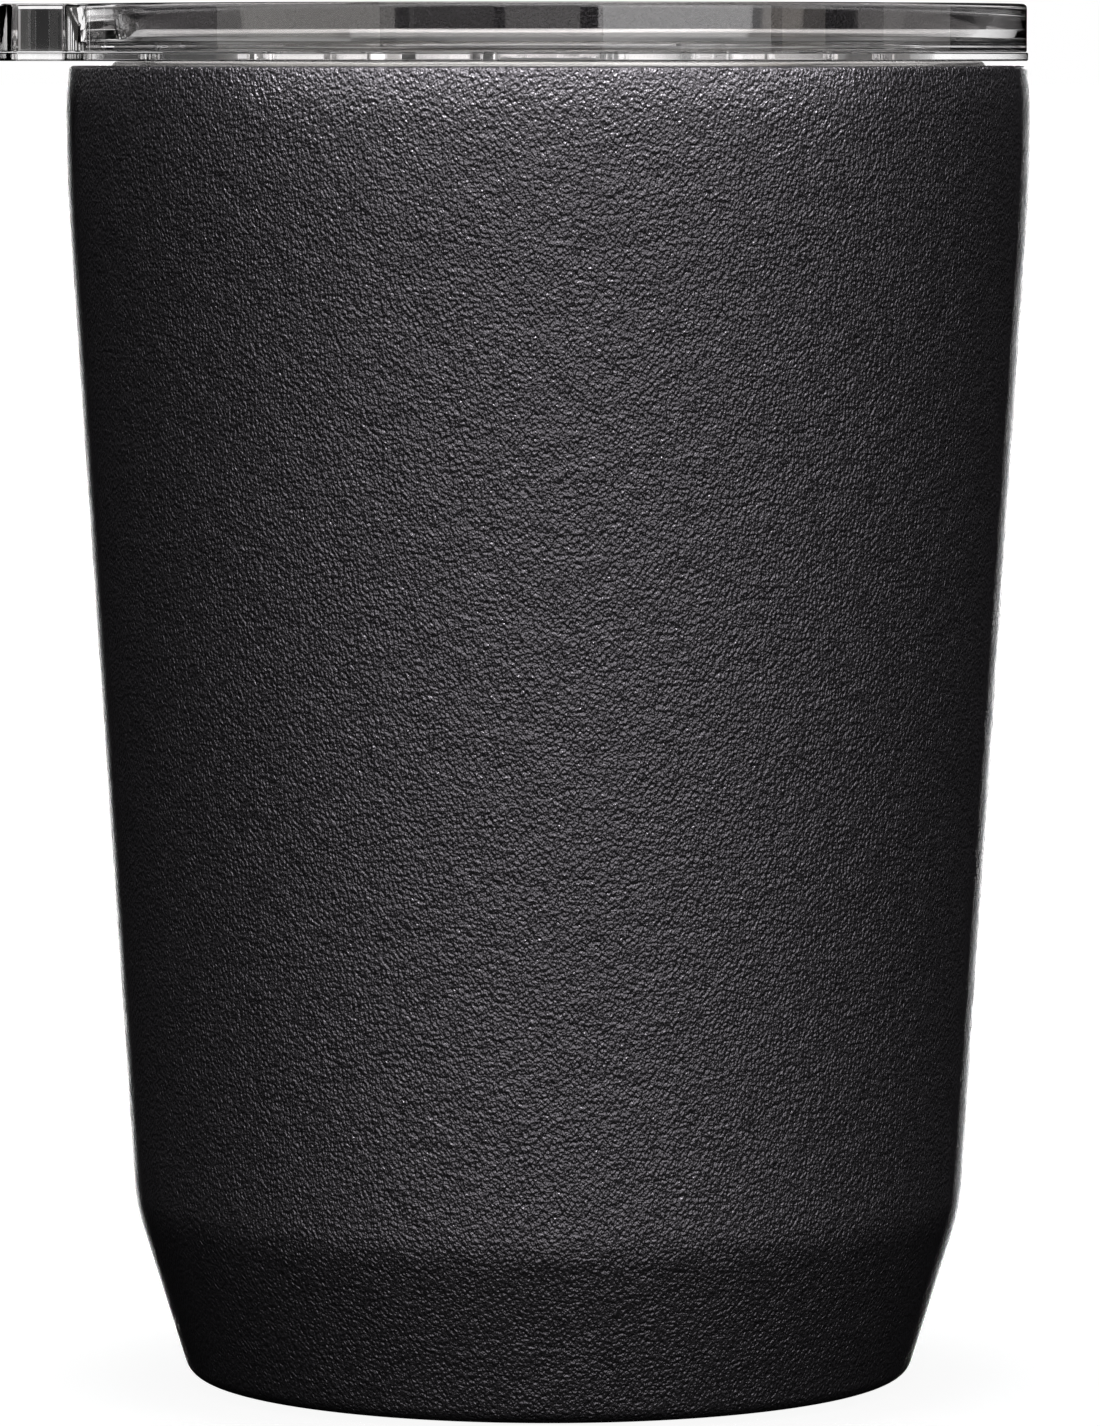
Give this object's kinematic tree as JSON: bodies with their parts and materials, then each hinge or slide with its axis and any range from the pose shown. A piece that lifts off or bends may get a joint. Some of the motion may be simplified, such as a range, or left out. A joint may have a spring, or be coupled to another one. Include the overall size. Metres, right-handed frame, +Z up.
{
  "type": "insulated tumbler",
  "caption": "Double-wall vacuum-insulated steel tumbler with a clear press-in lid, a pull tab and a turning closed, sip or straw selector.",
  "frame": {"origin": "centre of the foot pad's underside, on the floor, on the cup's axis", "axes": "+Z up along the cup's axis, -X towards the lid's pull tab, +X towards the sip opening"},
  "size_m": [0.0895, 0.084, 0.1204],
  "materials": {
    "coated_steel": "textured powder coat, semi-matt black",
    "steel": "electropolished stainless steel",
    "foil": "bright foil",
    "getter_metal": "sintered zirconium alloy",
    "seal_glass": "melted sealing glass",
    "clear_plastic": "clear copolyester, polished",
    "dark_silicone": "matt silicone",
    "clear_silicone": "translucent silicone",
    "adhesive": "acrylic adhesive film"
  },
  "bodies": {
    "cup": {"outer_wall": "coated_steel", "base_plate": "steel", "vacuum_seal_bead": "seal_glass", "pad_adhesive": "adhesive", "foot_pad": "dark_silicone", "liner_wall": "steel", "liner_bottom": "steel", "reflective_foil": "foil", "getter_clip": "steel", "getter_pellet": "getter_metal"},
    "lid": {"lid_top": "clear_plastic", "lid_plug": "clear_plastic", "lid_gasket": "clear_silicone", "sip_seal": "clear_silicone", "straw_seal": "clear_silicone", "vent_seal": "clear_silicone"},
    "selector": {"selector_dial": "clear_plastic", "pivot_o_ring": "clear_silicone", "tension_washer": "clear_silicone", "pivot_cap": "clear_plastic"}
  },
  "joints": [
    {"name": "lid_lift", "type": "slide", "parent": "cup", "child": "lid", "axis": [0, 0, 1], "range_m": [0, 0.04]},
    {"name": "selector_turn", "type": "hinge", "parent": "lid", "child": "selector", "pos_m": [0, 0, 0.1166], "axis": [0, 0, 1], "range_deg": [-50, 50]}
  ]
}
